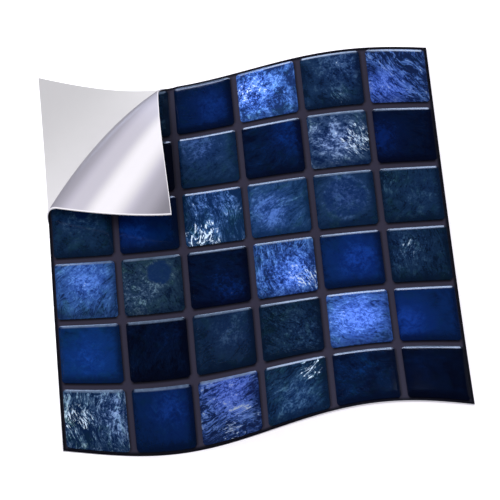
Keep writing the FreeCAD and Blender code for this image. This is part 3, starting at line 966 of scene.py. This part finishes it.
def chip_points(sheet):
    """One point for each chip of the flat sheet, with its finish and what its glass shows."""
    half = sheet.side / 2
    pitch = sheet.side / len(LAYOUT)
    middles = [
        (pitch * (column + 0.5) - half, half - pitch * (row + 0.5), 0.0)
        for row in range(len(LAYOUT))
        for column in range(len(LAYOUT))
    ]
    mesh = bpy.data.meshes.new("chip_points")
    mesh.from_pydata(middles, [], [])
    mesh.attributes.new("finish", "INT", "POINT")
    mesh.attributes.new("chip_seed", "FLOAT", "POINT")
    for name in CHIP_TRAITS:
        mesh.attributes.new(name, "FLOAT_VECTOR", "POINT")
    letters = list(FINISHES)
    for k, letter in enumerate("".join(LAYOUT)):
        mesh.attributes["finish"].data[k].value = letters.index(letter)
        mesh.attributes["chip_seed"].data[k].value = k + 1
        bright, lean, clouds, strokes, degrees, flecks, *places = GLASS[k]
        traits = ((bright, lean, clouds), (strokes, math.radians(degrees), flecks), *places)
        for name, trait in zip(CHIP_TRAITS, traits):
            mesh.attributes[name].data[k].vector = trait
    return mesh


class MOSAIC_OT_chips(bpy.types.Operator):
    """Set the raised chips of one finish on the film"""

    bl_idname = "mosaic.chips"
    bl_label = "Chips"

    finish: StringProperty(name="Finish", description="Glass colouring to set", default="navy")

    def execute(self, context):
        scene = context.scene
        drape = Drape(scene)
        sheet = drape.sheet
        number = list(FINISHES.values()).index(self.finish)
        tree = bpy.data.node_groups.get("Mosaic chips") or chip_grid_tree()
        layout = placed("chip_layout", chip_points(sheet))
        modifier = layout.modifiers.new("Chips", "NODES")
        modifier.node_group = tree
        values = {
            "Reach": (sheet.side / len(LAYOUT[0]) - sheet.joint) / 2,
            "Seed": 4.0 + number,
            "Finish": number,
            "Material": glass_material(self.finish, scene.mosaic_colours),
        }
        for size in ("Corner", "Height", "Wall", "Shoulder", "Crown", "Unevenness", "Rings"):
            values[size] = getattr(scene.mosaic_chip, size.lower())
        for item in tree.interface.items_tree:
            if item.in_out == "INPUT" and item.name in values:
                modifier[item.identifier] = values[item.name]
        evaluated = layout.evaluated_get(context.evaluated_depsgraph_get())
        mesh = bpy.data.meshes.new_from_object(evaluated)
        bpy.data.objects.remove(layout)
        mesh.name = self.finish + "_chip_faces"
        bm = bmesh.new()
        bm.from_mesh(mesh)
        bmesh.ops.translate(bm, verts=bm.verts, vec=(0, 0, drape.face + sheet.bond))
        cut_along(bm, drape.roll_cuts(2 * drape.roll.mesh_step))
        piece = placed(self.finish + "_glass_chips", draped(bm, mesh, drape.film))
        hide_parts(self.finish + "_chips")
        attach(piece, "root")
        return {"FINISHED"}


# Place of the lamp above left, the floor's half side and its depth just under the part.
KEY_PLACE = (-0.55, 0.25, 1.1)
FLOOR_REACH = 4.0
FLOOR_DEPTH = 0.0002
# The band behind the sheet sets in and is full at these shares of the way straight back.
BAND_SETS_IN, BAND_WHOLE = 0.80, 0.91


class MOSAIC_OT_stage(bpy.types.Operator):
    """Set the pale floor, the soft studio light and the camera"""

    bl_idname = "mosaic.stage"
    bl_label = "Stage"

    def execute(self, context):
        scene = context.scene
        studio = scene.mosaic_studio
        mesh = bpy.data.meshes.new("floor")
        far = FLOOR_REACH
        corners = [(-far, -far, 0), (far, -far, 0), (far, far, 0), (-far, far, 0)]
        mesh.from_pydata(corners, [], [range(4)])
        material, m, shader = new_material("Pale floor")
        glossy = m.add("ShaderNodeLightPath").outputs["Is Glossy Ray"]
        m.feed(shader, {
            "Base Color": m.mix(glossy, studio.floor, studio.floor_mirrored),
            "Roughness": 0.9,
            "Specular IOR Level": 0.0,
            "Emission Color": studio.floor_light,
            "Emission Strength": m.times_plus(glossy, -studio.floor_glow, studio.floor_glow),
        })
        floor = placed("floor", mesh, [material])
        floor.location.z = -FLOOR_DEPTH

        world = bpy.data.worlds.new("Studio")
        scene.world = world
        world.use_nodes = True
        world.node_tree.nodes.clear()
        m = NodeMaker(world.node_tree)
        glossy = m.add("ShaderNodeLightPath").outputs["Is Glossy Ray"]
        way = m.parts(m.add("ShaderNodeTexCoord").outputs["Generated"])
        band = m.ramp(way[2], math.sin(studio.band_full), math.sin(studio.band_end), studio.band, 0.0)
        behind = m.ramp(way[1], BAND_SETS_IN, BAND_WHOLE)
        mirrored = m.times_plus(band, behind, studio.mirrored_fill - studio.fill)
        strength = m.times_plus(glossy, mirrored, studio.fill)
        tint = m.mix(glossy, studio.fill_colour, studio.mirrored_colour)
        light = m.add("ShaderNodeBackground", {"Color": tint, "Strength": strength})
        m.add("ShaderNodeOutputWorld", {"Surface": light.outputs[0]})

        self.lamp(studio)
        scene.view_settings.view_transform = "Standard"
        self.camera(scene, studio)
        return {"FINISHED"}

    def lamp(self, studio):
        data = bpy.data.lights.new("Key lamp", "AREA")
        data.size = studio.key_width
        data.energy = studio.key_power
        lamp = placed("Key lamp", data)
        lamp.location = KEY_PLACE
        lamp.rotation_euler = (-Vector(KEY_PLACE)).to_track_quat("-Z", "Y").to_euler()
        lamp.visible_glossy = False

    def camera(self, scene, studio):
        drape = Drape(scene)
        turned = (
            Matrix.Rotation(studio.camera_side, 3, "Z")
            @ Matrix.Rotation(math.pi / 2 - studio.camera_height, 3, "X")
            @ Matrix.Rotation(studio.camera_roll, 3, "Z")
        )
        place = turned @ Vector((studio.camera_right, studio.camera_up, studio.camera_distance))
        data = bpy.data.cameras.new("Camera")
        data.lens = studio.lens
        data.clip_start = 0.05
        data.clip_end = 20.0
        camera = placed("Camera", data)
        camera.matrix_world = Matrix.Translation(drape.settle(place)) @ (drape.level @ turned).to_4x4()
        scene.camera = camera


class MOSAIC_PT_panel(bpy.types.Panel):
    """Sizes, colours and pieces of the mosaic sheet"""

    bl_idname = "MOSAIC_PT_panel"
    bl_label = "Mosaic Sheet"
    bl_space_type = "VIEW_3D"
    bl_region_type = "UI"
    bl_category = "Mosaic"

    def draw(self, context):
        layout = self.layout
        for name, kind in GROUPS.items():
            box = layout.box()
            box.label(text=name.removeprefix("mosaic_").title())
            for field in kind.__annotations__:
                box.prop(getattr(context.scene, name), field)
        layout.operator("mosaic.release_paper")
        layout.operator("mosaic.vinyl_film")
        for finish in FINISHES.values():
            layout.operator("mosaic.chips", text=finish.title() + " chips").finish = finish
        layout.operator("mosaic.stage")


GROUPS = {
    "mosaic_sheet": MosaicSheetSizes,
    "mosaic_wave": MosaicWave,
    "mosaic_roll": MosaicRoll,
    "mosaic_chip": MosaicChipSizes,
    "mosaic_colours": MosaicColours,
    "mosaic_studio": MosaicStudio,
}
CLASSES = (
    MOSAIC_OT_release_paper,
    MOSAIC_OT_vinyl_film,
    MOSAIC_OT_chips,
    MOSAIC_OT_stage,
    MOSAIC_PT_panel,
)


def register():
    for name, group in GROUPS.items():
        bpy.utils.register_class(group)
        setattr(bpy.types.Scene, name, PointerProperty(type=group))
    for cls in CLASSES:
        bpy.utils.register_class(cls)


def unregister():
    for cls in reversed(CLASSES):
        bpy.utils.unregister_class(cls)
    for name, group in reversed(GROUPS.items()):
        delattr(bpy.types.Scene, name)
        bpy.utils.unregister_class(group)


def main():
    register()
    bpy.ops.mosaic.release_paper()
    bpy.ops.mosaic.vinyl_film()
    for finish in FINISHES.values():
        bpy.ops.mosaic.chips(finish=finish)
    bpy.ops.mosaic.stage()


if __name__ == "__main__":
    main()
